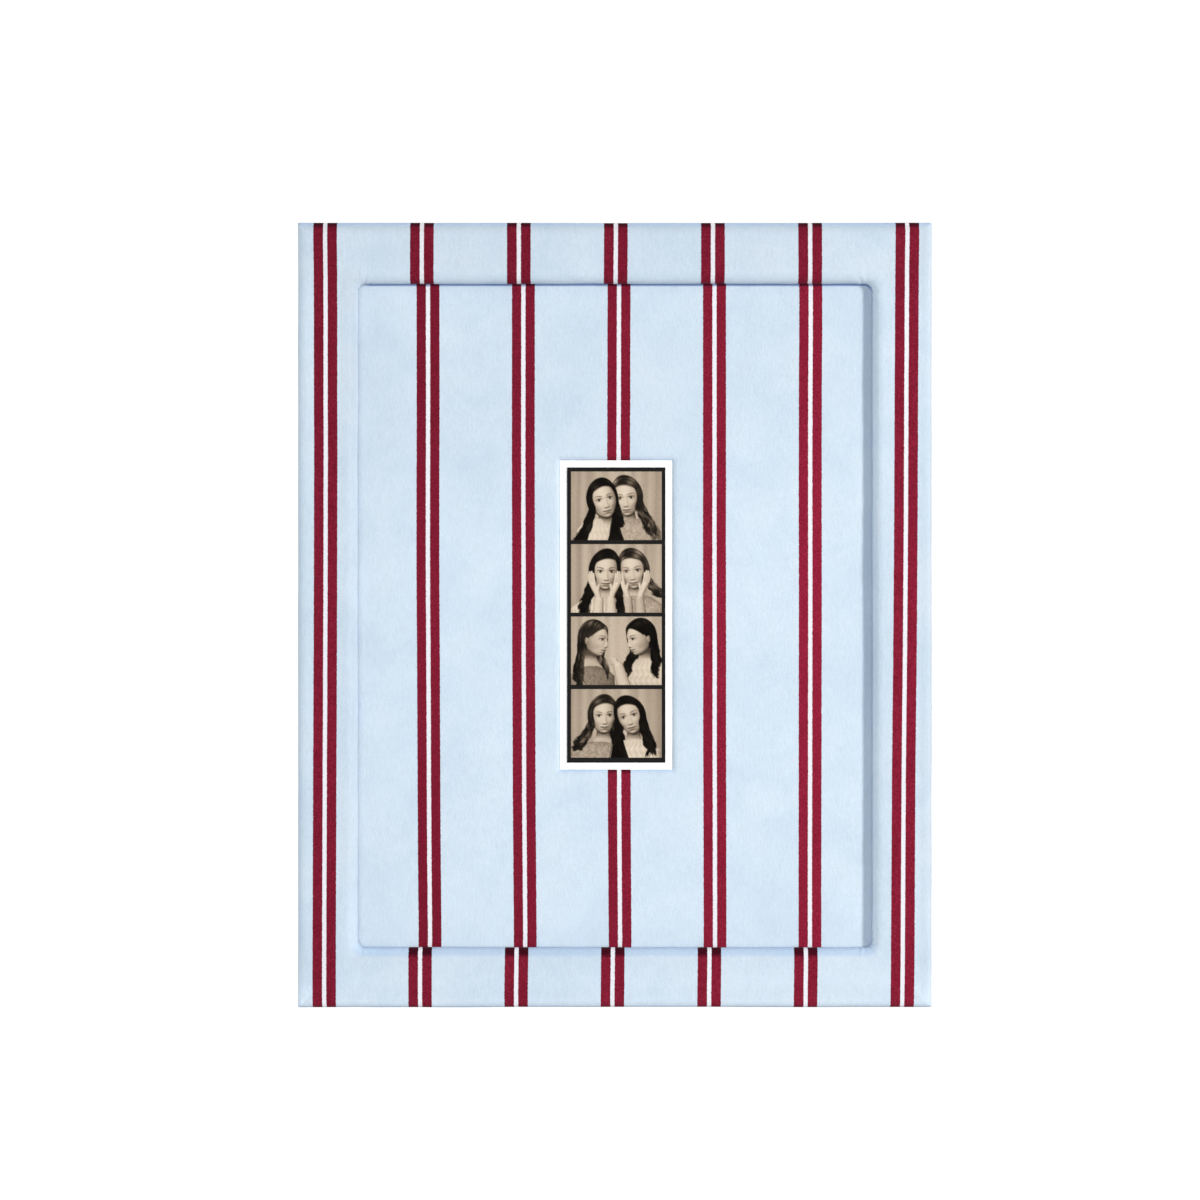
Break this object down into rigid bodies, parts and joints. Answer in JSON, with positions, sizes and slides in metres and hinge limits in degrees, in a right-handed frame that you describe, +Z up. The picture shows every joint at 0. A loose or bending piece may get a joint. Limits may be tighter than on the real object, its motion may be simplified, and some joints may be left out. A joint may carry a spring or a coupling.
{
  "type": "picture frame",
  "caption": "Padded fabric-wrapped picture frame with a recessed fabric mat, a tall window for a photo strip, turn buttons, an easel strut and a wall hanger.",
  "frame": {"origin": "middle of the bottom edge, half way through the depth", "axes": "+Z up along the height, +X to the right as seen from the front, front faces -Y"},
  "size_m": [0.326, 0.0262, 0.404],
  "materials": {
    "velvet": "short cotton velvet, pale blue with burgundy and white stripes",
    "batting": "polyester batting",
    "pine": "planed, unfinished",
    "steel": "zinc plated sheet",
    "brass": "brass plated",
    "mat_board": "uncoated board",
    "print": "satin photo paper",
    "tape": "double-sided tape",
    "mount_card": "smooth white card",
    "foam_core": "matt paper face",
    "paper_covered_board": "fibreboard covered with cream textured paper",
    "felt": "pressed wool felt"
  },
  "bodies": {
    "frame": {"rail_top": "pine", "rail_bottom": "pine", "rail_left": "pine", "rail_right": "pine", "v_nail_bottom_left": "steel", "v_nail_bottom_right": "steel", "v_nail_top_left": "steel", "v_nail_top_right": "steel", "face_batting": "batting", "frame_velvet": "velvet", "mat_board": "mat_board", "mat_velvet": "velvet", "photo_strip": "print", "strip_tape_upper": "tape", "strip_tape_lower": "tape", "strip_mount": "mount_card", "filler_board": "foam_core", "backing_board": "paper_covered_board", "button_screw_left_upper": "brass", "button_screw_left_lower": "brass", "button_screw_right_upper": "brass", "button_screw_right_lower": "brass", "button_screw_top_left": "brass", "button_screw_top_right": "brass", "button_screw_bottom_left": "brass", "button_screw_bottom_right": "brass", "easel_hinge_plate": "steel", "easel_hinge_pin": "steel", "hinge_rivet_left": "brass", "hinge_rivet_right": "brass", "sawtooth_hanger": "brass", "hanger_nail_left": "brass", "hanger_nail_right": "brass", "wall_bumper_left": "felt", "wall_bumper_right": "felt"},
    "easel": {"easel_strut": "paper_covered_board", "easel_strut_leaf": "steel", "strut_rivet_upper": "brass", "strut_rivet_lower": "brass"},
    "button_left_upper": {"turn_button_left_upper": "brass"},
    "button_left_lower": {"turn_button_left_lower": "brass"},
    "button_right_upper": {"turn_button_right_upper": "brass"},
    "button_right_lower": {"turn_button_right_lower": "brass"},
    "button_top_left": {"turn_button_top_left": "brass"},
    "button_top_right": {"turn_button_top_right": "brass"},
    "button_bottom_left": {"turn_button_bottom_left": "brass"},
    "button_bottom_right": {"turn_button_bottom_right": "brass"}
  },
  "joints": [
    {"name": "easel_hinge", "type": "hinge", "parent": "frame", "child": "easel", "pos_m": [0, 0.00945, 0.266], "axis": [1, 0, 0], "range_deg": [0, 28]},
    {"name": "button_left_upper_turn", "type": "hinge", "parent": "frame", "child": "button_left_upper", "pos_m": [-0.1464, 0.00645, 0.31], "axis": [0, 1, 0], "range_deg": [-90, 90]},
    {"name": "button_left_lower_turn", "type": "hinge", "parent": "frame", "child": "button_left_lower", "pos_m": [-0.1464, 0.00645, 0.094], "axis": [0, 1, 0], "range_deg": [-90, 90]},
    {"name": "button_right_upper_turn", "type": "hinge", "parent": "frame", "child": "button_right_upper", "pos_m": [0.1464, 0.00645, 0.31], "axis": [0, 1, 0], "range_deg": [-90, 90]},
    {"name": "button_right_lower_turn", "type": "hinge", "parent": "frame", "child": "button_right_lower", "pos_m": [0.1464, 0.00645, 0.094], "axis": [0, 1, 0], "range_deg": [-90, 90]},
    {"name": "button_top_left_turn", "type": "hinge", "parent": "frame", "child": "button_top_left", "pos_m": [-0.084, 0.00645, 0.3874], "axis": [0, 1, 0], "range_deg": [-90, 90]},
    {"name": "button_top_right_turn", "type": "hinge", "parent": "frame", "child": "button_top_right", "pos_m": [0.084, 0.00645, 0.3874], "axis": [0, 1, 0], "range_deg": [-90, 90]},
    {"name": "button_bottom_left_turn", "type": "hinge", "parent": "frame", "child": "button_bottom_left", "pos_m": [-0.096, 0.00645, 0.0166], "axis": [0, 1, 0], "range_deg": [-90, 90]},
    {"name": "button_bottom_right_turn", "type": "hinge", "parent": "frame", "child": "button_bottom_right", "pos_m": [0.096, 0.00645, 0.0166], "axis": [0, 1, 0], "range_deg": [-90, 90]}
  ]
}
